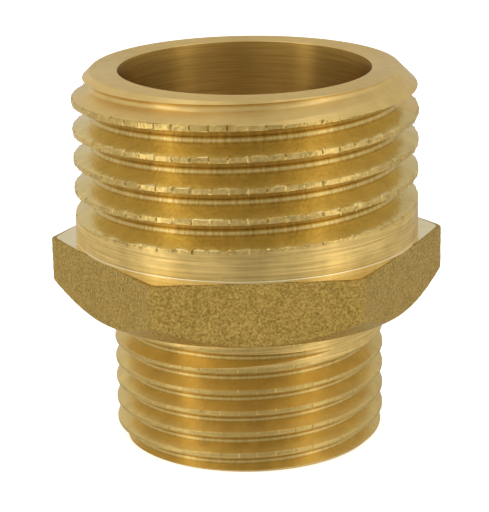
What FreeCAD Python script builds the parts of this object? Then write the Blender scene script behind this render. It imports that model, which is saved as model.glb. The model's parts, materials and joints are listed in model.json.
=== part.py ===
"""Reducing hex nipple, one piece of brass: a G 1/2 male end above a hexagon and a G 3/8 male end below it.

Frame: millimetres, +Z up along the pipe axis, origin at the centre of the lower end face,
one corner of the hexagon on +X.
"""
import FreeCAD, Part
import math
import os

import Sketcher

SIZES = [
    # hexagon
    ("hex_across_flats", 21.0),
    ("hex_thickness", 3.85),
    ("hex_corner_radius", 0.7),
    ("hex_bevel_diameter", 20.8),
    ("hex_bevel_angle", 38.0),
    # upper male end, G 1/2
    ("upper_end_length", 10.35),
    ("upper_major_diameter", 20.955),
    ("upper_pitch", 1.814),
    ("upper_mouth_chamfer", 1.15),
    ("upper_last_groove_height", 14.92),
    ("upper_last_groove_angle", 177.0),
    ("upper_pull_out_turns", 0.15),
    ("upper_bore_diameter", 15.3),
    ("upper_bore_depth", 12.0),
    # lower male end, G 3/8
    ("lower_end_length", 8.8),
    ("lower_major_diameter", 16.662),
    ("lower_pitch", 1.337),
    ("lower_mouth_chamfer", 0.5),
    ("lower_last_groove_height", 7.14),
    ("lower_last_groove_angle", -120.0),
    ("lower_pull_out_turns", 0.2),
    ("lower_bore_diameter", 12.0),
    # step between the bores, left by a drill's point
    ("drill_point_angle", 118.0),
    # 55 degree pipe thread form, as ratios of the pitch, with flat crests
    ("thread_flank_angle", 27.5),
    ("thread_depth_ratio", 0.640327),
    ("thread_root_radius_ratio", 0.137329),
    ("thread_crest_flat_ratio", 1 / 6),
    # how far the threading tool lifts as it leaves the work, in groove depths, and clears the blank
    ("thread_pull_out_lift", 1.1),
    ("thread_cutter_overhang", 0.3),
    ("thread_overrun_turns", 0.6),
]

HEX_BOTTOM = "sizes.lower_end_length"
HEX_TOP = "(sizes.lower_end_length + sizes.hex_thickness)"
TOP = "(sizes.lower_end_length + sizes.hex_thickness + sizes.upper_end_length)"
LOWER_RADIUS = "(sizes.lower_major_diameter / 2)"
UPPER_RADIUS = "(sizes.upper_major_diameter / 2)"

doc = FreeCAD.newDocument("hex_nipple")
sheet = doc.addObject("Spreadsheet::Sheet", "sizes")
for row, (alias, value) in enumerate(SIZES, start=1):
    sheet.set(f"A{row}", alias)
    sheet.set(f"B{row}", f"{value:.6f}")
    sheet.setAlias(f"B{row}", alias)
doc.recompute()

body = doc.addObject("PartDesign::Body", "nipple_body")
body.Label = "nipple_body"


def number(expression):
    """The value that an expression over the sheet has now, used to draw a sketch's first geometry."""
    return float(body.evalExpression(expression))


def point(across, up):
    """A sketch point from a pair of expressions."""
    return FreeCAD.Vector(number(across), number(up), 0)


def origin_feature(role):
    """The body's own origin plane or axis with this role."""
    return next(f for f in body.Origin.OriginFeatures if f.Role == role)


def flat_sketch(name, plane):
    """An empty sketch on one of the body's origin planes."""
    sketch = body.newObject("Sketcher::SketchObject", name)
    sketch.AttachmentSupport = [(origin_feature(plane), "")]
    sketch.MapMode = "FlatFace"
    return sketch


def coincide(sketch, geometry, end, other, other_end):
    sketch.addConstraint(Sketcher.Constraint("Coincident", geometry, end, other, other_end))


def dimension(sketch, kind, where, expression):
    """Add a dimension and bind it to the sheet; where is the part of the constraint that it measures."""
    index = sketch.addConstraint(Sketcher.Constraint(kind, *where, number(expression)))
    sketch.setExpression(f"Constraints[{index}]", expression)


def pin_point(sketch, geometry, end, across, up):
    """Fix one end of a line at (across, up) from the sketch's origin; a zero puts it on the axis."""
    for kind, expression, axis in (("DistanceX", across, -2), ("DistanceY", up, -1)):
        if expression == "0":
            sketch.addConstraint(Sketcher.Constraint("PointOnObject", geometry, end, axis))
        else:
            dimension(sketch, kind, (-1, 1, geometry, end), expression)


def draw_polygon(sketch, corners):
    """A closed outline through corners given as pairs of expressions."""
    count = len(corners)
    points = [point(*corner) for corner in corners]
    for i in range(count):
        sketch.addGeometry(Part.LineSegment(points[i], points[(i + 1) % count]), False)
    for i in range(count):
        coincide(sketch, i, 2, (i + 1) % count, 1)
    for i, corner in enumerate(corners):
        pin_point(sketch, i, 1, *corner)


def revolve(kind, name, corners):
    """Turn an outline, given as radius and height pairs, a full circle about the pipe axis."""
    sketch = flat_sketch(f"{name}_outline", "XZ_Plane")
    draw_polygon(sketch, corners)
    feature = body.newObject(kind, name)
    feature.Profile = sketch
    feature.ReferenceAxis = (origin_feature("Z_Axis"), [""])
    feature.Angle = 360
    doc.recompute()


def turned_blank():
    """Both plain cylinders with their mouth chamfers."""
    lower, upper = "sizes.lower_mouth_chamfer", "sizes.upper_mouth_chamfer"
    revolve("PartDesign::Revolution", "turned_blank", [
        ("0", "0"),
        (f"{LOWER_RADIUS} - {lower}", "0"),
        (LOWER_RADIUS, lower),
        (LOWER_RADIUS, HEX_TOP),
        (UPPER_RADIUS, HEX_TOP),
        (UPPER_RADIUS, f"{TOP} - {upper}"),
        (f"{UPPER_RADIUS} - {upper}", TOP),
        ("0", TOP),
    ])


def hexagon():
    """The spanner hexagon, padded between the two ends, with its upright edges rounded."""
    across_corners = "sizes.hex_across_flats / cos(30deg)"
    reach = number(across_corners) / 2
    sketch = flat_sketch("hexagon_outline", "XY_Plane")
    sketch.setExpression("AttachmentOffset.Base.z", HEX_BOTTOM)
    corners = [FreeCAD.Vector(reach * math.cos(math.radians(turn)),
                              reach * math.sin(math.radians(turn)), 0) for turn in range(0, 360, 60)]
    for i in range(6):
        sketch.addGeometry(Part.LineSegment(corners[i], corners[(i + 1) % 6]), False)
    circle = sketch.addGeometry(
        Part.Circle(FreeCAD.Vector(0, 0, 0), FreeCAD.Vector(0, 0, 1), reach), True)
    coincide(sketch, circle, 3, -1, 1)
    dimension(sketch, "Diameter", (circle,), across_corners)
    for i in range(6):
        coincide(sketch, i, 2, (i + 1) % 6, 1)
        sketch.addConstraint(Sketcher.Constraint("PointOnObject", i, 1, circle))
    for i in range(1, 6):
        sketch.addConstraint(Sketcher.Constraint("Equal", 0, i))
    sketch.addConstraint(Sketcher.Constraint("PointOnObject", 0, 1, -1))

    pad = body.newObject("PartDesign::Pad", "hexagon")
    pad.Profile = sketch
    pad.setExpression("Length", "sizes.hex_thickness")
    doc.recompute()

    def is_upright(edge):
        ends = edge.Vertexes
        at_corner = all(abs(math.hypot(v.X, v.Y) - reach) < 0.001 for v in ends)
        return at_corner and len(ends) == 2 and abs(ends[0].Z - ends[1].Z) > 1

    fillet = body.newObject("PartDesign::Fillet", "hexagon_corners")
    fillet.Base = (pad, [f"Edge{i}" for i, edge in enumerate(pad.Shape.Edges, start=1)
                         if is_upright(edge)])
    fillet.setExpression("Radius", "sizes.hex_corner_radius")
    doc.recompute()


def hexagon_bevel():
    """The bevel turned on the hexagon's underside, which takes away most of its lower corners."""
    inner = "sizes.hex_bevel_diameter / 2"
    outer = "sizes.hex_across_flats * 0.65"
    rise = f"({outer} - {inner}) * tan(sizes.hex_bevel_angle * 1deg)"
    revolve("PartDesign::Groove", "hexagon_bevel", [
        (inner, HEX_BOTTOM),
        (inner, f"{HEX_BOTTOM} - 1"),
        (outer, f"{HEX_BOTTOM} - 1"),
        (outer, f"{HEX_BOTTOM} + {rise}"),
    ])


def thread_groove(end):
    """The groove's section where the tool last has its full depth: straight flanks, round root."""
    radius = f"(sizes.{end}_major_diameter / 2)"
    pitch = f"sizes.{end}_pitch"
    centre = f"sizes.{end}_last_groove_height"
    flank = "(sizes.thread_flank_angle * 1deg)"
    half_mouth = f"({pitch} * (1 - sizes.thread_crest_flat_ratio) / 2)"
    root_radius = f"({pitch} * sizes.thread_root_radius_ratio)"
    root_centre = f"({radius} - {pitch} * sizes.thread_depth_ratio + {root_radius})"
    root_edge = f"({root_centre} - {root_radius} * sin({flank}))"
    root_reach = f"({root_radius} * cos({flank}))"
    overhang = f"({radius} + sizes.thread_cutter_overhang)"

    sketch = flat_sketch(f"{end}_groove", "XZ_Plane")
    sketch.AttachmentOffset = FreeCAD.Placement(
        FreeCAD.Vector(0, 0, 0), FreeCAD.Rotation(FreeCAD.Vector(0, 1, 0), 0))
    sketch.setExpression("AttachmentOffset.Rotation.Angle", f"sizes.{end}_last_groove_angle * 1deg")
    corners = [
        (root_edge, f"{centre} + {root_reach}"),
        (radius, f"{centre} + {half_mouth}"),
        (overhang, f"{centre} + {half_mouth}"),
        (overhang, f"{centre} - {half_mouth}"),
        (radius, f"{centre} - {half_mouth}"),
        (root_edge, f"{centre} - {root_reach}"),
    ]
    points = [point(*corner) for corner in corners]
    for i in range(5):
        sketch.addGeometry(Part.LineSegment(points[i], points[i + 1]), False)
    circle = Part.Circle(point(root_centre, centre), FreeCAD.Vector(0, 0, 1), number(root_radius))
    half_sweep = math.radians(90 - number("sizes.thread_flank_angle"))
    root = sketch.addGeometry(
        Part.ArcOfCircle(circle, math.pi - half_sweep, math.pi + half_sweep), False)
    for i in range(4):
        coincide(sketch, i, 2, i + 1, 1)
    coincide(sketch, root, 1, 0, 1)
    coincide(sketch, root, 2, 4, 2)
    for i in range(5):
        pin_point(sketch, i, 1, *corners[i])
    pin_point(sketch, 4, 2, *corners[5])
    dimension(sketch, "Radius", (root,), root_radius)
    doc.recompute()
    return sketch


def cut_helix(name, groove, end, turns, downward, cone_angle=None):
    """Sweep the groove along a right-hand helix and take it away; a cone angle lifts the tool out."""
    volume_before = body.Shape.Volume
    helix = body.newObject("PartDesign::SubtractiveHelix", name)
    helix.Profile = groove
    helix.ReferenceAxis = (origin_feature("Z_Axis"), [""])
    helix.Mode = "pitch-turns-angle"
    helix.LeftHanded = False
    helix.Reversed = downward
    helix.setExpression("Pitch", f"sizes.{end}_pitch")
    helix.setExpression("Turns", turns)
    if cone_angle:
        helix.setExpression("Angle", cone_angle)
    doc.recompute()
    if not body.Shape.Volume < volume_before:
        raise RuntimeError(f"{name} cut nothing")


def thread(end, threaded_length, run_out_is_downward):
    """A full thread from the last full groove out past the mouth, and the tool's pull-out beside the hexagon."""
    groove = thread_groove(end)
    cut_helix(f"{end}_thread", groove, end,
              f"{threaded_length} / sizes.{end}_pitch + sizes.thread_overrun_turns",
              not run_out_is_downward)
    lift_per_height = f"(sizes.thread_depth_ratio * sizes.thread_pull_out_lift / sizes.{end}_pull_out_turns)"
    cut_helix(f"{end}_pull_out", groove, end, f"sizes.{end}_pull_out_turns",
              run_out_is_downward, f"atan({lift_per_height})")


def stepped_bore():
    """The wide upper bore, the cone left by the drill's point, and the narrow lower bore."""
    wide, narrow = "sizes.upper_bore_diameter / 2", "sizes.lower_bore_diameter / 2"
    shoulder = f"({TOP} - sizes.upper_bore_depth)"
    cone_height = f"({wide} - {narrow}) / tan(sizes.drill_point_angle / 2 * 1deg)"
    revolve("PartDesign::Groove", "stepped_bore", [
        ("0", "0"),
        (narrow, "0"),
        (narrow, f"{shoulder} - {cone_height}"),
        (wide, shoulder),
        (wide, TOP),
        ("0", TOP),
    ])


def check_document():
    """Stop if any object failed to compute or the finished body isn't one valid solid."""
    for item in doc.Objects:
        if "Invalid" in item.State or "Error" in item.State:
            raise RuntimeError(f"{item.Name} failed: {item.State}")
    shape = body.Shape
    if shape.isNull() or not shape.isValid() or len(shape.Solids) != 1:
        raise RuntimeError("nipple_body isn't one valid solid")


turned_blank()
hexagon()
hexagon_bevel()
thread("upper", f"({TOP} - sizes.upper_last_groove_height)", run_out_is_downward=True)
thread("lower", "sizes.lower_last_groove_height", run_out_is_downward=False)
stepped_bore()
check_document()

os.makedirs("parts", exist_ok=True)
body.Shape.exportStep(f"parts/{body.Label}.step")
print(f"{body.Label}: {body.Shape.Volume:.1f} mm3, {body.Shape.optimalBoundingBox()}")
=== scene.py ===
"""Brass reducing hex nipple: a G 1/2 male end above a hexagon and a G 3/8 male end below it.

The visible piece is one skin, rebuilt in finer detail than the CAD node that it replaces: cut threads
with the threading tool's nicks on their crests, turned faces, a blasted hexagon and a stepped bore.
Shapes are worked out in millimetres and turned into metres when the mesh is made. Angles are in
radians about +Z, and a turn is one full circle.
"""
import json
import math

import bmesh
import bpy
import numpy as np
from mathutils import Matrix, Vector, noise


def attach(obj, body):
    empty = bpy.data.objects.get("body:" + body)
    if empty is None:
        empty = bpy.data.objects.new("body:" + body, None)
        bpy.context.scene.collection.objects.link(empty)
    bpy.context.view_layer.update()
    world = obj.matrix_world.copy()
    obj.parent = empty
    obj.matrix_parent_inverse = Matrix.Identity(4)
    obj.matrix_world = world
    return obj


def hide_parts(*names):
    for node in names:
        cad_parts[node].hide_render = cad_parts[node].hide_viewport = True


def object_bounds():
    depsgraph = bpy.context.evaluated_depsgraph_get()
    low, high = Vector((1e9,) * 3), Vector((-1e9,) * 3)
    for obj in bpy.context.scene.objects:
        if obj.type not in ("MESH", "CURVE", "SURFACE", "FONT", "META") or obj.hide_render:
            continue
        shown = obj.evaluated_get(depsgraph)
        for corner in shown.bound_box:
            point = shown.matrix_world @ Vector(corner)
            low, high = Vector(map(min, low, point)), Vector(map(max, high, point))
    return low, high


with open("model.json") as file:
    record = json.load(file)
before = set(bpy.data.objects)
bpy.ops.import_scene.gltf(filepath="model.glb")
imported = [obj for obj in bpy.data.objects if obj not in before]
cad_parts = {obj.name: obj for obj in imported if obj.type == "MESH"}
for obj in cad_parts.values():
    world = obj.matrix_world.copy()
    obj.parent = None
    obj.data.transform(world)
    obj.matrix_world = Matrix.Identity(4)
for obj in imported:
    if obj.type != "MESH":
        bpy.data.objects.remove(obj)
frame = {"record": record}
cad_low, cad_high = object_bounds()

MM = 0.001
TURN = 2 * math.pi
SEED = 20
SEAM = math.pi / 2            # the angle where an unrolled sheet's two sides meet, at the back

# ---------------------------------------------------------------- sizes, in millimetres
mounts = {mount["name"]: mount for mount in frame["record"]["mounts"]}
TOP = cad_high.z / MM

UPPER_BORE_RADIUS = mounts["upper_bore"]["dims"]["r_mm"]
UPPER_BORE_DEPTH = mounts["upper_bore"]["dims"]["length_mm"]
LOWER_BORE_RADIUS = mounts["lower_bore"]["dims"]["r_mm"]
LOWER_BORE_LENGTH = mounts["lower_bore"]["dims"]["length_mm"]
BORE_EDGE = 0.06              # how far the bores' mouths are rounded over
BORE_LIP = 0.35               # a plain ring of the end face round each mouth
BORE_START = 1.0              # depth of the first ring of points inside a bore

HEX_BOTTOM = mounts["hex_underside"]["pos_m"][2] / MM
HEX_APOTHEM = -mounts["spanner_flat"]["pos_m"][1] / MM
HEX_THICKNESS = 3.85
HEX_TOP = HEX_BOTTOM + HEX_THICKNESS
HEX_CORNER_RADIUS = 0.7
HEX_BEVEL_RADIUS = 10.4       # where the turned bevel meets the underside
HEX_BEVEL_ANGLE = math.radians(38)
HEX_TOP_EDGE = 0.1            # how far the hexagon's upper edge is rounded over
HEX_SPACING = 0.17            # between points along a side
NECK_MARGIN = 0.1             # between the lower end's crests and the underside's last ring

BROAD_WAVE = 0.012            # the hexagon's forged surface: a slow rise and fall
LUMPS = 0.02                  # and smaller lumps
FORGED_INSET = 0.032          # it lies this much further in, so that no lump stands proud

BEAD_HEIGHT = HEX_TOP + 0.15  # a fine bead round the collar's foot
BEAD_SIZE = 0.022
BEAD_CLEARANCE = 0.0004       # between the bead and the hexagon's upper edge, where they come closest

# ---------------------------------------------------------------- thread form
FLANK = math.radians(27.5)    # the 55 degree pipe thread, with its lengths as ratios of the pitch
DEPTH_RATIO = 0.640327
ROOT_RATIO = 0.137329
CREST_RATIO = 1 / 6
CREST_START = 0.5 - CREST_RATIO / 2              # from a groove's centre
ROOT_REACH = ROOT_RATIO * math.cos(FLANK)        # from a groove's centre
MOUTH_ROW = 0.03              # a row of points this far inside a groove's mouth
PULL_OUT_LIFT = 1.1           # how far the threading tool lifts as it leaves the work, in groove depths
RUN_OUT = 0.8                 # the lift, in groove depths, past which only score lines are left

# Numbers of the finishes, in the order of make_materials
CREST, GROOVE, TURNED, FORGED, BORED, FACED_HIGHLIGHT, SCORED, WORN, SHADED_ROOT, FINE, FINE_SHADED_ROOT = range(11)

UPPER = dict(
    radius=20.955 / 2, pitch=1.814, chamfer=1.15, low=BEAD_HEIGHT, high=TOP, mouth_is_high=True,
    groove_height=14.92, groove_turns=177 / 360, pull_out=0.15,
    crest=CREST, groove=GROOVE, root=SHADED_ROOT, crest_rounding=0.015,
    nicks=60, nick_phase=math.radians(-92.5), nick_width=0.06, nick_depth=0.1, ragged=0.07,
)
LOWER = dict(
    radius=16.662 / 2, pitch=1.337, chamfer=0.5, low=0.0, high=HEX_BOTTOM, mouth_is_high=False,
    groove_height=7.14, groove_turns=-120 / 360, pull_out=0.2,
    crest=WORN, groove=FINE, root=FINE_SHADED_ROOT, crest_rounding=0.03,
    nicks=46, nick_phase=math.radians(-90.0), nick_width=0.04, nick_depth=0.04, ragged=0.02,
)

# Columns of points beside each nick
NICK_SHOULDER = 2.2           # in nick widths
PLATE_COLUMN = 0.27           # as a share of the way to the next nick

# Wear on the crests, the first three in multiples of an end's "ragged" size
PLATE_TILT = 0.9              # how far the plate between two nicks tips inward
EDGE_WANDER = 0.6             # how far a crest's edge strays up or down
BURR_HEIGHT = 1.6             # how far metal is pushed over the edge beside a nick
BURR_WIDTH = 1.5              # in nick widths
WEAR_TURNS = 20               # turns along the crest before its wear repeats
WAVES_PER_NICK = 3.1          # of the straying edge
WAVE_SLICE = 0.3              # which slice of the noise the edge follows
PLAIN_MARGIN = 0.05           # a crest's edge isn't moved nearer than this to the end of its sheet

# Tolerances
SLACK = 1e-3                  # in pitches on the thread, and in millimetres on the chamfer
SURFACE_SLACK = 1e-4
RING_SLACK = 1e-5


# ---------------------------------------------------------------- one closed skin
class Skin:
    """Points and faces of one closed surface, gathered ring by ring."""

    def __init__(self):
        self.points, self.faces, self.finishes = [], [], []

    def add(self, points):
        """Add points and return their numbers."""
        start = len(self.points)
        self.points.extend(points)
        return list(range(start, len(self.points)))

    def face(self, corners, finish):
        self.faces.append(corners)
        self.finishes.append(finish)

    def band(self, ring, other, finish):
        """Quads between two rings with the same number of points."""
        count = len(ring)
        for i in range(count):
            j = (i + 1) % count
            self.face((ring[i], ring[j], other[j], other[i]), finish)

    def bands(self, rings, finish):
        for ring, other in zip(rings, rings[1:]):
            self.band(ring, other, finish)

    def by_angle(self, ring):
        """(angle, point number) pairs once round the axis, with the first one again at the end."""
        pairs = sorted((math.atan2(self.points[i][1], self.points[i][0]) % TURN, i) for i in ring)
        return pairs + [(pairs[0][0] + TURN, pairs[0][1])]

    def stitch(self, ring, other, finish):
        """Triangles between two rings of any two lengths, each going once round the axis."""
        near, far = self.by_angle(ring), self.by_angle(other)
        i = j = 0
        while i < len(near) - 1 or j < len(far) - 1:
            far_is_done = j == len(far) - 1
            if far_is_done or (i < len(near) - 1 and near[i + 1][0] <= far[j + 1][0]):
                self.face((near[i][1], near[i + 1][1], far[j][1]), finish)
                i += 1
            else:
                self.face((near[i][1], far[j + 1][1], far[j][1]), finish)
                j += 1


def at_angle(angle, reach, height):
    return reach * math.cos(angle), reach * math.sin(angle), height


def on_circle(reach, height, angles):
    return [at_angle(angle, reach, height) for angle in angles]


# ---------------------------------------------------------------- threads, as flat sheets
def groove_profile(pitch, crest_rounding):
    """(axial offset, depth) pairs over one pitch from a groove's centre, both in millimetres."""
    root = ROOT_RATIO * pitch
    depth = DEPTH_RATIO * pitch
    reach = root * math.cos(FLANK)
    mouth = pitch * (1 - CREST_RATIO) / 2
    arc = [root * math.sin(a) for a in np.linspace(0, math.pi / 2 - FLANK, 5)]
    flank = list(np.linspace(reach, mouth, 5))[1:-1] + [mouth - MOUTH_ROW * pitch, mouth]
    crest = list(np.linspace(mouth, pitch / 2, 3))[1:]

    def depth_at(offset):
        if offset <= reach:
            return depth - root + math.sqrt(root ** 2 - offset ** 2)
        straight = (mouth - offset) / math.tan(FLANK)
        return (straight + math.sqrt(straight ** 2 + 4 * crest_rounding ** 2)) / 2
    rising = [(offset, depth_at(offset)) for offset in arc + flank + crest]
    falling = [(pitch - offset, d) for offset, d in reversed(rising[1:-1])]
    return rising + falling


def groove_lift(end, turns):
    """How far the tool has pulled out of the groove, turns along it from its last full depth."""
    past = -turns if end["mouth_is_high"] else turns
    whole = PULL_OUT_LIFT * DEPTH_RATIO * end["pitch"]
    return whole * np.maximum(past, 0) / end["pull_out"]


def thread_place(end, angle, height):
    """(turns along the groove, offset from its centre in pitches) of a point, offset in -0.5 to 0.5."""
    ahead = (angle / TURN) - end["groove_turns"]
    level = (height - end["groove_height"]) / end["pitch"] - ahead
    nearest = math.floor(level + 0.5)
    return ahead + nearest, level - nearest


def column_turns(end):
    """Where a sheet's columns stand, in turns from the seam: closer together beside each nick."""
    spacing = TURN / end["nicks"]
    width = end["nick_width"] / end["radius"]
    beside = [width, NICK_SHOULDER * width, spacing * PLATE_COLUMN]
    offsets = [-spacing / 2] + [-o for o in reversed(beside)] + [0] + beside
    first = (end["nick_phase"] - SEAM) % spacing
    angles = sorted((first + k * spacing + o) % TURN for k in range(end["nicks"]) for o in offsets)
    return np.array([0.0] + angles + [TURN]) / TURN


def unrolled_sheet(end):
    """The threaded end's surface as a flat sheet: along the circle, outward, and up, in millimetres."""
    pitch, radius = end["pitch"], end["radius"]
    columns = column_turns(end)
    ahead = SEAM / TURN - end["groove_turns"]
    start = end["groove_height"] + pitch * ahead
    first = math.floor((end["low"] - start) / pitch) - 2
    last = math.ceil((end["high"] - start) / pitch) + 1
    sheet = bmesh.new()
    rows = []
    for k in range(first, last):
        for offset, depth in groove_profile(pitch, end["crest_rounding"]):
            lift = groove_lift(end, columns + k + (offset / pitch > 0.5) + ahead)
            height = start + pitch * (columns + k) + offset
            places = np.stack([columns * TURN * radius, radius - depth + lift, height], -1)
            rows.append([sheet.verts.new(place) for place in places])
    for row, above in zip(rows, rows[1:]):
        for j in range(len(columns) - 1):
            sheet.faces.new((row[j], row[j + 1], above[j + 1], above[j]))
    return sheet


def trim(sheet, point, normal, remove):
    """Cut the sheet along a plane. The part beyond it goes, or is pressed inward onto the plane."""
    normal = Vector(normal).normalized()
    bmesh.ops.bisect_plane(
        sheet, geom=sheet.verts[:] + sheet.edges[:] + sheet.faces[:], dist=RING_SLACK,
        plane_co=point, plane_no=normal, clear_outer=remove)
    if not remove:
        for v in sheet.verts:
            beyond = (v.co - Vector(point)).dot(normal)
            if beyond > 0:
                v.co.y -= beyond / normal.y


def trimmed_sheet(end):
    """The sheet cut to its length and turned down to its cylinder and to the chamfer at its mouth."""
    radius, low, high = end["radius"], end["low"], end["high"]
    mouth, out_of_mouth = (high, 1) if end["mouth_is_high"] else (low, -1)
    sheet = unrolled_sheet(end)
    trim(sheet, (0, radius, 0), (0, 1, 0), remove=False)
    trim(sheet, (0, 0, high), (0, 0, 1), remove=True)
    trim(sheet, (0, 0, low), (0, 0, -1), remove=True)
    trim(sheet, (0, radius - end["chamfer"], mouth), (0, 1, out_of_mouth), remove=False)
    return sheet


# ---------------------------------------------------------------- threads, finished and rolled up
def point_finish(end, place, turns, offset):
    """The finish of a point of the sheet, turns along the groove and offset from its centre."""
    radius, pitch, chamfer = end["radius"], end["pitch"], end["chamfer"]
    from_mouth = end["high"] - place.z if end["mouth_is_high"] else place.z - end["low"]
    if from_mouth < chamfer - SLACK and place.y > radius - chamfer + from_mouth - SLACK:
        return TURNED
    on_crest = abs(offset) > CREST_START - SLACK
    tool_is_out = groove_lift(end, turns) > RUN_OUT * DEPTH_RATIO * pitch
    if tool_is_out or (place.y > radius - SURFACE_SLACK and not on_crest):
        return SCORED
    if on_crest:
        return end["crest"]
    last_turn = (end["high"] - end["groove_height"]) / pitch - 1
    if end["mouth_is_high"] and turns > last_turn:
        return TURNED
    # The groove's root takes the darker root brass: painted shade at the bottom of the groove.
    return end["root"] if abs(offset) < ROOT_REACH + SLACK else end["groove"]


def face_finish(end, corners):
    """One finish for a face, from those of its corners."""
    order = (end["groove"], TURNED, SCORED, end["root"])
    finish = next((kind for kind in order if kind in corners), end["crest"])
    if finish in (TURNED, SCORED) and corners.count(end["crest"]) >= 2:
        return end["crest"]
    return finish


class CrestWear:
    """What the threading tool does to a crest: a nick at every tooth, tilted plates and ragged edges."""

    def __init__(self, end):
        self.end = end
        random = np.random.default_rng(SEED + end["nicks"])
        count = WEAR_TURNS * end["nicks"]
        self.depth = random.uniform(0.2, 1.0, count) ** 1.5
        self.tilt = random.uniform(-1.0, 1.0, count)
        self.burr = random.uniform(-0.6, 1.0, count)

    def at(self, angle, turns, edge):
        """(inward, upward) displacement. edge is 1 on the land's upper edge, -1 on its lower one, else 0."""
        end, ragged, nicks = self.end, self.end["ragged"], self.end["nicks"]
        number = (angle - end["nick_phase"]) / TURN * nicks
        past = number - round(number)
        nick = int(round(turns * nicks - past)) % len(self.depth)
        tilt = self.tilt[nick if past >= 0 else nick - 1]
        share = past % 1.0
        wave = noise.noise(Vector((turns * nicks * WAVES_PER_NICK, WAVE_SLICE, edge)))
        inward = ragged * PLATE_TILT * abs(tilt) * (share if tilt > 0 else 1 - share)
        upward = edge * EDGE_WANDER * ragged * wave
        width = end["nick_width"] / (TURN * end["radius"] / nicks)
        if abs(past) < 0.5 * width:
            inward += end["nick_depth"] * self.depth[nick]
            upward -= edge * ragged * self.depth[nick]
        elif 0 < past < BURR_WIDTH * width:
            upward += edge * ragged * BURR_HEIGHT * max(self.burr[nick], 0)
        return inward, upward


def finish_sheet(end, sheet):
    """Wear the sheet's crests, and return the finish of each of its points."""
    wear = CrestWear(end)
    finishes = {}
    for v in sheet.verts:
        angle = v.co.x / end["radius"] + SEAM
        turns, offset = thread_place(end, angle, v.co.z)
        finishes[v] = point_finish(end, v.co, turns, offset)
        if finishes[v] == end["crest"]:
            edge = 1 if offset < 0 else -1
            on_edge = abs(abs(offset) - CREST_START) < 2 * SLACK
            inward, upward = wear.at(angle, turns, edge if on_edge else 0)
            v.co.y -= inward
            if end["low"] + PLAIN_MARGIN < v.co.z < end["high"] - PLAIN_MARGIN:
                v.co.z += upward
    return finishes


def roll_up(skin, end, sheet):
    """Add the sheet's points to the skin as a tube joined at the seam, and return their numbers."""
    radius = end["radius"]
    on_seam, numbers = {}, {}
    for v in sheet.verts:
        level = round(v.co.z / SURFACE_SLACK)
        at_seam = v.co.x < SURFACE_SLACK or v.co.x > TURN * radius - SURFACE_SLACK
        if at_seam and level in on_seam:
            numbers[v] = on_seam[level]
            continue
        numbers[v] = skin.add([at_angle(v.co.x / radius + SEAM, v.co.y, v.co.z)])[0]
        if at_seam:
            on_seam[level] = numbers[v]
    return numbers


def add_end(skin, end):
    """A threaded end of the skin. Returns its lower and upper rings."""
    sheet = trimmed_sheet(end)
    finishes = finish_sheet(end, sheet)
    numbers = roll_up(skin, end, sheet)
    for face in sheet.faces:
        finish = face_finish(end, [finishes[v] for v in face.verts])
        skin.face(tuple(numbers[v] for v in face.verts), finish)
    rings = []
    for level in (end["low"], end["high"]):
        rings.append(sorted({numbers[v] for v in sheet.verts if abs(v.co.z - level) < RING_SLACK}))
    sheet.free()
    return rings


# ---------------------------------------------------------------- hexagon
def hex_outline():
    """(angle, reach) pairs round the hexagon, evenly spaced, with rounded corners."""
    radius = HEX_CORNER_RADIUS
    inset = HEX_APOTHEM - radius
    half = inset * math.tan(math.pi / 6)
    side = [(HEX_APOTHEM, y) for y in np.linspace(-half, half, round(2 * half / HEX_SPACING))]
    corner = [(inset + radius * math.cos(a), half + radius * math.sin(a))
              for a in np.linspace(0, math.pi / 3, 6)[1:-1]]
    outline = []
    for k in range(6):
        turn = math.pi / 6 + k * math.pi / 3
        outline += [(math.atan2(y, x) + turn, math.hypot(x, y)) for x, y in side + corner]
    return outline


def forged(points, amount):
    """Points of the hexagon pushed about by its blasted, slightly uneven surface."""
    moved = []
    for point in points:
        p = Vector(point)
        wave = noise.noise(p * 0.5)
        lumps = noise.noise(p * 2.1) + 0.6 * noise.noise(p * 4.3)
        outward = Vector((p.x, p.y, 0)).normalized()
        moved.append(tuple(p + outward * (BROAD_WAVE * wave + LUMPS * lumps - FORGED_INSET) * amount))
    return moved


def bead_rings(angles):
    """The fine bead round the collar's foot, from its top edge down."""
    rings = []
    for turn in np.linspace(0, math.pi / 2, 4)[1:]:
        reach = UPPER["radius"] + BEAD_SIZE * math.sin(turn)
        rings.append(on_circle(reach, BEAD_HEIGHT - 2 * BEAD_SIZE * (1 - math.cos(turn)), angles))
    return rings


def edge_reach(reach, inset):
    """How far out the upper edge is. In the middle of a side it nearly touches the bead."""
    return max(reach - inset, UPPER["radius"] + BEAD_SIZE + BEAD_CLEARANCE)


def bevel_height(reach):
    return HEX_BOTTOM + (reach - HEX_BEVEL_RADIUS) * math.tan(HEX_BEVEL_ANGLE)


def top_rings(outline):
    """The hexagon's top, from the bead outward."""
    inner = UPPER["radius"] + BEAD_SIZE
    return [[at_angle(a, inner + (edge_reach(r, HEX_TOP_EDGE) - inner) * share, HEX_TOP) for a, r in outline]
            for share in np.linspace(0, 1, 7)[:-1]]


def side_rings(outline):
    """The rounded upper edge, then the sides down to the bevel."""
    rings = []
    for turn in np.linspace(0, math.pi / 2, 4):
        inset = HEX_TOP_EDGE * (1 - math.sin(turn))
        height = HEX_TOP - HEX_TOP_EDGE * (1 - math.cos(turn))
        rings.append([at_angle(a, edge_reach(r, inset), height) for a, r in outline])
    upper = HEX_TOP - HEX_TOP_EDGE
    for share in np.linspace(0, 1, 22)[1:]:
        rings.append([at_angle(a, r, upper + (bevel_height(r) - upper) * share) for a, r in outline])
    return rings


def bevel_rings(outline):
    """The turned bevel, from the sides in to the underside."""
    rings = []
    for share in np.linspace(0, 1, 7)[1:]:
        reaches = [(a, r + (HEX_BEVEL_RADIUS - r) * share) for a, r in outline]
        rings.append([at_angle(a, reach, bevel_height(reach)) for a, reach in reaches])
    return rings


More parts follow.
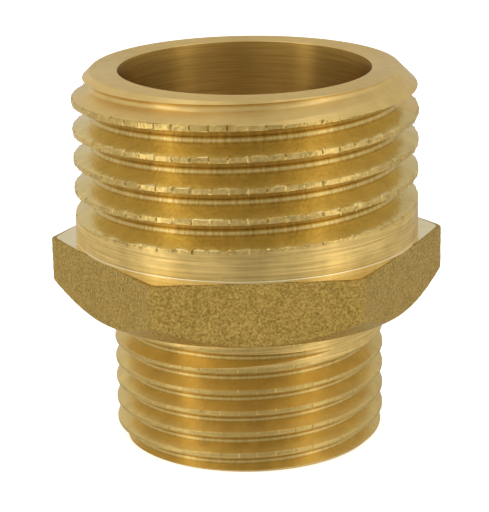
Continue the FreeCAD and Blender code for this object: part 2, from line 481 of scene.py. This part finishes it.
def underside_rings(angles):
    """The underside, from the bevel in to the neck."""
    inner = LOWER["radius"] + NECK_MARGIN
    return [on_circle(HEX_BEVEL_RADIUS + (inner - HEX_BEVEL_RADIUS) * share, HEX_BOTTOM, angles)
            for share in np.linspace(0, 1, 6)[1:]]


def add_hexagon(skin, collar_ring, neck_ring):
    outline = hex_outline()
    angles = [a for a, _ in outline]
    bead = [skin.add(ring) for ring in bead_rings(angles)]
    top = [skin.add(ring) for ring in top_rings(outline)]
    sides = [skin.add(forged(ring, 1.0)) for ring in side_rings(outline)]
    *slope, slope_foot = bevel_rings(outline)
    bevel = [skin.add(forged(ring, 0.5)) for ring in slope] + [skin.add(slope_foot)]
    under = [skin.add(ring) for ring in underside_rings(angles)]
    # Painted highlight: the top face and the bead get a much paler brass that stands in for light caught on
    # them.
    skin.bands(top, FACED_HIGHLIGHT)
    skin.bands(top[-1:] + sides + bevel, FORGED)
    skin.bands(bevel[-1:] + under, TURNED)
    skin.stitch(collar_ring, bead[0], TURNED)
    skin.bands(bead, FACED_HIGHLIGHT)
    skin.band(bead[-1], top[0], TURNED)
    skin.stitch(neck_ring, under[-1], TURNED)


# ---------------------------------------------------------------- bores and end faces
def bore_path():
    """(radius, height, finish) of the rings from the top face down through the bore to the lower face."""
    upper, lower = UPPER_BORE_RADIUS, LOWER_BORE_RADIUS
    shoulder = TOP - UPPER_BORE_DEPTH
    cone_slope = (shoulder - LOWER_BORE_LENGTH) / (upper - lower)
    path = [(upper + BORE_EDGE + BORE_LIP, TOP, TURNED), (upper + BORE_EDGE, TOP, TURNED)]
    for t in (math.pi / 6, math.pi / 3, math.pi / 2):
        path.append((upper + BORE_EDGE * (1 - math.sin(t)), TOP - BORE_EDGE * (1 - math.cos(t)), TURNED))
    path += [(upper, h, BORED) for h in np.linspace(TOP - BORE_START, shoulder, 12)]
    path += [(r, shoulder - (upper - r) * cone_slope, BORED) for r in np.linspace(upper, lower, 5)[1:]]
    path += [(lower, h, BORED) for h in np.linspace(LOWER_BORE_LENGTH - BORE_START, BORE_EDGE, 10)]
    path += [(lower + BORE_EDGE, 0, TURNED), (lower + BORE_EDGE + BORE_LIP, 0, TURNED)]
    return path


def add_bores(skin, rim_ring, foot_ring):
    columns = 192
    angles = [TURN * i / columns for i in range(columns)]
    path = bore_path()
    rings = [skin.add(on_circle(reach, height, angles)) for reach, height, _ in path]
    for ring, other, (_, _, finish) in zip(rings, rings[1:], path[1:]):
        skin.band(ring, other, finish)
    skin.stitch(rim_ring, rings[0], TURNED)
    skin.stitch(foot_ring, rings[-1], TURNED)


# ---------------------------------------------------------------- materials
class Nodes:
    """Short calls for building one node tree."""

    def __init__(self, tree):
        self.tree = tree
        tree.nodes.clear()

    def make(self, kind, **settings):
        node = self.tree.nodes.new(kind)
        for name, value in settings.items():
            setattr(node, name, value)
        return node

    def link(self, source, target):
        self.tree.links.new(source, target)

    def fill(self, sockets, values):
        """Set each socket to a number, or link it to another node's output."""
        for socket, value in zip(sockets, values):
            if isinstance(value, (int, float)):
                socket.default_value = value
            else:
                self.link(value, socket)

    def math(self, operation, *values):
        node = self.make("ShaderNodeMath", operation=operation)
        self.fill(node.inputs, values)
        return node.outputs[0]

    def vector(self, x, y, z):
        node = self.make("ShaderNodeCombineXYZ")
        self.fill(node.inputs, (x, y, z))
        return node.outputs[0]

    def noise(self, vector, scale, detail=2.0, dimensions="3D", w=None):
        node = self.make("ShaderNodeTexNoise", noise_dimensions=dimensions)
        self.link(vector, node.inputs["Vector"])
        node.inputs["Scale"].default_value = scale
        node.inputs["Detail"].default_value = detail
        if w is not None:
            self.link(w, node.inputs["W"])
        return node.outputs["Fac"]

    def remap(self, value, low, high, out_low, out_high):
        node = self.make("ShaderNodeMapRange")
        names = ("Value", "From Min", "From Max", "To Min", "To Max")
        self.fill([node.inputs[name] for name in names], (value, low, high, out_low, out_high))
        return node.outputs["Result"]

    def mix(self, share, first, second):
        node = self.make("ShaderNodeMix", data_type="RGBA")
        factor, start, end = node.inputs["Factor"], node.inputs[6], node.inputs[7]
        self.link(share, factor)
        start.default_value = (*first, 1)
        end.default_value = (*second, 1)
        return node.outputs[2]

    def stretched(self, xyz, across, along):
        """A position scaled by across in X and Y and by along in Z."""
        scales = (across, across, along)
        return self.vector(*(self.math("MULTIPLY", value, scale) for value, scale in zip(xyz, scales)))


def turned_grain(n, position, xyz):
    """Fine lines round the axis: stretched noise that changes quickly with height and radius."""
    x, y, _ = xyz
    radius = n.math("SQRT", n.math("ADD", n.math("MULTIPLY", x, x), n.math("MULTIPLY", y, y)))
    return n.noise(n.stretched(xyz, 0.12, 9.0), 1.0, 2.0, "4D", n.math("MULTIPLY", radius, 9.0))


def chatter_grain(n, position, xyz):
    """Short marks across the groove, left by the threading tool's chatter, with specks between them."""
    stripes = n.noise(n.stretched(xyz, 4.5, 0.9), 1.0, 3.0)
    specks = n.noise(position, 9.0, 2.0)
    return n.math("ADD", n.math("MULTIPLY", stripes, 0.7), n.math("MULTIPLY", specks, 0.3))


def dashed_grain(n, position, xyz):
    """Marks right across a narrow groove's root."""
    return n.noise(n.stretched(xyz, 5.5, 0.4), 1.0, 2.0)


def torn_grain(n, position, xyz):
    """Coarse torn metal on the crests."""
    return n.noise(position, 4.0, 3.0)


def scored_grain(n, position, xyz):
    """Fine score lines round an upright cylinder."""
    return n.noise(n.stretched(xyz, 0.25, 11.0), 1.0, 3.0)


def blasted_grain(n, position, xyz):
    """Small pits all over, left by shot blasting."""
    return n.noise(position, 7.0, 3.0)


def spread_round(n, shader, position, stretch):
    """Spread the highlights up and down, across the marks that turning leaves round the axis."""
    shader.inputs["Anisotropic"].default_value = stretch
    shader.inputs["Anisotropic Rotation"].default_value = 0.25
    round_axis = n.make("ShaderNodeVectorMath", operation="CROSS_PRODUCT")
    round_axis.inputs[0].default_value = (0, 0, 1)
    n.link(position, round_axis.inputs[1])
    n.link(round_axis.outputs[0], shader.inputs["Tangent"])


def brass(name, dark, light, roughness, grain, bump, marks, stretch=0.0):
    """A brass finish whose colour runs from dark to light and whose roughness wanders in its range.

    grain makes the height pattern, and bump is its depth in millimetres. marks says how much of that
    pattern darkens the colour where it sinks, as painted shade in its pits and lines, beside broad
    patches of random tone. stretch spreads the highlights.
    """
    material = bpy.data.materials.new(name)
    material.use_nodes = True
    n = Nodes(material.node_tree)
    out = n.make("ShaderNodeOutputMaterial")
    shader = n.make("ShaderNodeBsdfPrincipled")
    shader.inputs["Metallic"].default_value = 1.0
    shader.inputs["Specular Tint"].default_value = (1.0, 0.95, 0.8, 1)
    n.link(shader.outputs[0], out.inputs["Surface"])

    in_millimetres = n.make("ShaderNodeVectorMath", operation="SCALE")
    n.link(n.make("ShaderNodeTexCoord").outputs["Object"], in_millimetres.inputs[0])
    in_millimetres.inputs["Scale"].default_value = 1 / MM
    position = in_millimetres.outputs[0]
    split = n.make("ShaderNodeSeparateXYZ")
    n.link(position, split.inputs[0])
    height = grain(n, position, split.outputs)

    # Painted shade: the colour follows the bump's height and darkens where it sinks, in the pits and lines of
    # the grain, mixed with broad patches of random tone.
    patches = n.math("MULTIPLY", n.noise(position, 0.9, 3.0), 1 - marks)
    tone_and_hollow_shade = n.math("ADD", patches, n.math("MULTIPLY", height, marks))
    n.link(n.mix(n.remap(tone_and_hollow_shade, 0.35, 0.65, 0.0, 1.0), dark, light), shader.inputs["Base Color"])
    wander = n.noise(position, 2.3, 2.0)
    n.link(n.remap(wander, 0.3, 0.7, *roughness), shader.inputs["Roughness"])

    relief = n.make("ShaderNodeBump")
    relief.inputs["Strength"].default_value = 1.0
    relief.inputs["Distance"].default_value = bump * MM
    n.link(height, relief.inputs["Height"])
    n.link(relief.outputs[0], shader.inputs["Normal"])
    if stretch:
        spread_round(n, shader, position, stretch)
    return material


def make_materials():
    """The finishes, in the order of their numbers."""
    return [
        brass("brass_crest", (0.43, 0.3, 0.09), (0.73, 0.51, 0.17), roughness=(0.16, 0.24),
              grain=torn_grain, bump=0.03, marks=0.5, stretch=0.3),
        brass("brass_groove", (0.61, 0.465, 0.18), (0.755, 0.582, 0.235), roughness=(0.19, 0.25),
              grain=chatter_grain, bump=0.025, marks=0.5, stretch=0.65),
        brass("brass_turned", (0.71, 0.5, 0.18), (0.79, 0.565, 0.21), roughness=(0.32, 0.4),
              grain=turned_grain, bump=0.01, marks=0.3, stretch=0.85),
        brass("brass_blasted", (0.3, 0.187, 0.038), (0.6, 0.4, 0.105), roughness=(0.36, 0.46),
              grain=blasted_grain, bump=0.14, marks=0.85),
        brass("brass_bored", (0.46, 0.275, 0.063), (0.6, 0.37, 0.095), roughness=(0.34, 0.38),
              grain=scored_grain, bump=0.003, marks=1.0, stretch=1.0),
        # Painted highlight: far paler than the other brasses, so that the hexagon's top and the bead look
        # lit.
        brass("brass_faced_painted_highlight", (0.9, 0.78, 0.5), (0.97, 0.87, 0.6), roughness=(0.2, 0.28),
              grain=turned_grain, bump=0.004, marks=0.3),
        brass("brass_scored", (0.52, 0.365, 0.12), (0.88, 0.615, 0.213), roughness=(0.34, 0.42),
              grain=scored_grain, bump=0.025, marks=0.7, stretch=0.85),
        brass("brass_worn", (0.46, 0.32, 0.1), (0.6, 0.42, 0.135), roughness=(0.3, 0.4),
              grain=torn_grain, bump=0.02, marks=0.5, stretch=0.5),
        # Painted shade: the roots are darker brass than the flanks beside them, standing in for the shade at
        # the bottom of each groove.
        brass("brass_root_painted_shade", (0.46, 0.325, 0.11), (0.66, 0.47, 0.165), roughness=(0.2, 0.26),
              grain=dashed_grain, bump=0.01, marks=0.8, stretch=0.4),
        brass("brass_fine", (0.635, 0.465, 0.165), (0.775, 0.57, 0.205), roughness=(0.28, 0.34),
              grain=chatter_grain, bump=0.015, marks=0.4, stretch=0.85),
        brass("brass_fine_root_painted_shade", (0.54, 0.385, 0.13), (0.66, 0.475, 0.165), roughness=(0.3, 0.36),
              grain=dashed_grain, bump=0.006, marks=0.8, stretch=0.8),
    ]


# ---------------------------------------------------------------- the piece
SHARP_ANGLE = math.radians(36)
SHORTEST_EDGE = 1e-8          # in metres


def build_nipple():
    skin = Skin()
    foot, neck = add_end(skin, LOWER)
    collar_foot, rim = add_end(skin, UPPER)
    add_hexagon(skin, collar_foot, neck)
    add_bores(skin, rim, foot)
    mesh = bpy.data.meshes.new("hex_nipple")
    mesh.from_pydata([tuple(c * MM for c in p) for p in skin.points], [], skin.faces)
    mesh.polygons.foreach_set("material_index", skin.finishes)
    work = bmesh.new()
    work.from_mesh(mesh)
    bmesh.ops.dissolve_degenerate(work, dist=SHORTEST_EDGE, edges=work.edges)
    bmesh.ops.recalc_face_normals(work, faces=work.faces)
    work.to_mesh(mesh)
    work.free()
    mesh.shade_smooth()
    mesh.set_sharp_from_angle(angle=SHARP_ANGLE)
    for material in make_materials():
        mesh.materials.append(material)
    piece = bpy.data.objects.new("hex_nipple", mesh)
    bpy.context.scene.collection.objects.link(piece)
    return piece


nipple = build_nipple()
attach(nipple, "root")
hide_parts("nipple_body")


# ---------------------------------------------------------------- floor
FLOOR_REACH = 3.0             # in metres, from the middle to each side
FLOOR_DROP = 0.02 * MM        # below the object, so that no two faces share a plane


def floor_material():
    material = bpy.data.materials.new("floor_white")
    material.use_nodes = True
    shader = material.node_tree.nodes["Principled BSDF"]
    shader.inputs["Base Color"].default_value = (0.9, 0.9, 0.9, 1)
    shader.inputs["Roughness"].default_value = 0.9
    shader.inputs["Emission Color"].default_value = (1, 1, 1, 1)
    shader.inputs["Emission Strength"].default_value = 0.6
    return material


def add_floor():
    r = FLOOR_REACH
    mesh = bpy.data.meshes.new("floor")
    mesh.from_pydata([(-r, -r, 0), (r, -r, 0), (r, r, 0), (-r, r, 0)], [], [(0, 1, 2, 3)])
    mesh.materials.append(floor_material())
    floor = bpy.data.objects.new("floor", mesh)
    bpy.context.scene.collection.objects.link(floor)
    floor.location.z = -FLOOR_DROP
    floor.visible_glossy = False


# ---------------------------------------------------------------- camera
VIEW_AZIMUTH = math.radians(-92.81)      # where the camera stands, about +Z
VIEW_ELEVATION = math.radians(17.33)
VIEW_DISTANCE = 127.83 * MM
VIEW_HEIGHT = 11.06 * MM                 # of the point that it looks at
VIEW_ASIDE = -0.19 * MM
VIEW_ROLL = math.radians(0.969)
LENS = 145.56
SENSOR_WIDTH = 36


def facing(angle_from_camera):
    """A horizontal direction, turned from the camera's side about +Z."""
    angle = VIEW_AZIMUTH + angle_from_camera
    return Vector((math.cos(angle), math.sin(angle), 0))


def add_camera():
    data = bpy.data.cameras.new("camera")
    data.lens = LENS
    data.sensor_width = SENSOR_WIDTH
    data.clip_start = 0.01
    data.clip_end = 20
    back = facing(0) * math.cos(VIEW_ELEVATION)
    back.z = math.sin(VIEW_ELEVATION)
    right = facing(math.pi / 2)
    up = back.cross(right)
    across = right * math.cos(VIEW_ROLL) - up * math.sin(VIEW_ROLL)
    turn = Matrix((across, back.cross(across), back)).transposed().to_4x4()
    place = Vector((0, 0, VIEW_HEIGHT)) + back * VIEW_DISTANCE + right * VIEW_ASIDE
    camera = bpy.data.objects.new("camera", data)
    camera.matrix_world = Matrix.Translation(place) @ turn
    bpy.context.scene.collection.objects.link(camera)
    bpy.context.scene.camera = camera


# ---------------------------------------------------------------- light
STUDIO_PEAK = 4.0             # the level that the curve's value of 1 stands for
# Brightness of the studio round the object: (degrees from the camera's side, level), left side negative
STUDIO = [
    (-180, 0.6), (-150, 0.82), (-110, 0.78), (-78, 0.84), (-70, 1.0), (-66, 1.8), (-55, 1.8), (-51, 1.0),
    (-27, 0.78), (-5, 0.61), (8, 0.57), (20, 0.62), (40, 0.84), (49, 1.1), (53, 1.52), (63, 1.52), (67, 1.15),
    (80, 0.9), (110, 0.76), (150, 0.66), (180, 0.6),
]


def studio_level(n, share):
    """The studio's brightness as a share of its peak, for a share of the way round from behind."""
    node = n.make("ShaderNodeFloatCurve")
    node.mapping.use_clip = False
    points = node.mapping.curves[0].points
    for i, (degrees, level) in enumerate(STUDIO):
        x, y = (degrees + 180) / 360, level / STUDIO_PEAK
        if i < 2:
            points[i].location = (x, y)
        else:
            points.new(x, y)
        points[i].handle_type = "VECTOR"
    node.mapping.update()
    n.link(share, node.inputs["Value"])
    return node.outputs[0]


def add_light():
    """A bright studio that is dim on the camera's side, with a narrow lamp on either side of that."""
    world = bpy.data.worlds.new("studio")
    bpy.context.scene.world = world
    world.use_nodes = True
    n = Nodes(world.node_tree)
    out = n.make("ShaderNodeOutputWorld")
    glow = n.make("ShaderNodeBackground")
    direction = n.make("ShaderNodeTexCoord").outputs["Generated"]

    def along(axis):
        dot = n.make("ShaderNodeVectorMath", operation="DOT_PRODUCT")
        n.link(direction, dot.inputs[0])
        dot.inputs[1].default_value = axis
        return dot.outputs["Value"]
    angle = n.math("ARCTAN2", along(facing(math.pi / 2)), along(facing(0)))
    share = n.remap(angle, -math.pi, math.pi, 0.0, 1.0)
    n.link(studio_level(n, share), glow.inputs["Strength"])
    glow.inputs["Color"].default_value = (STUDIO_PEAK, STUDIO_PEAK, STUDIO_PEAK, 1)
    n.link(glow.outputs[0], out.inputs["Surface"])


add_floor()
add_light()
add_camera()
bpy.context.scene.view_settings.view_transform = "Standard"
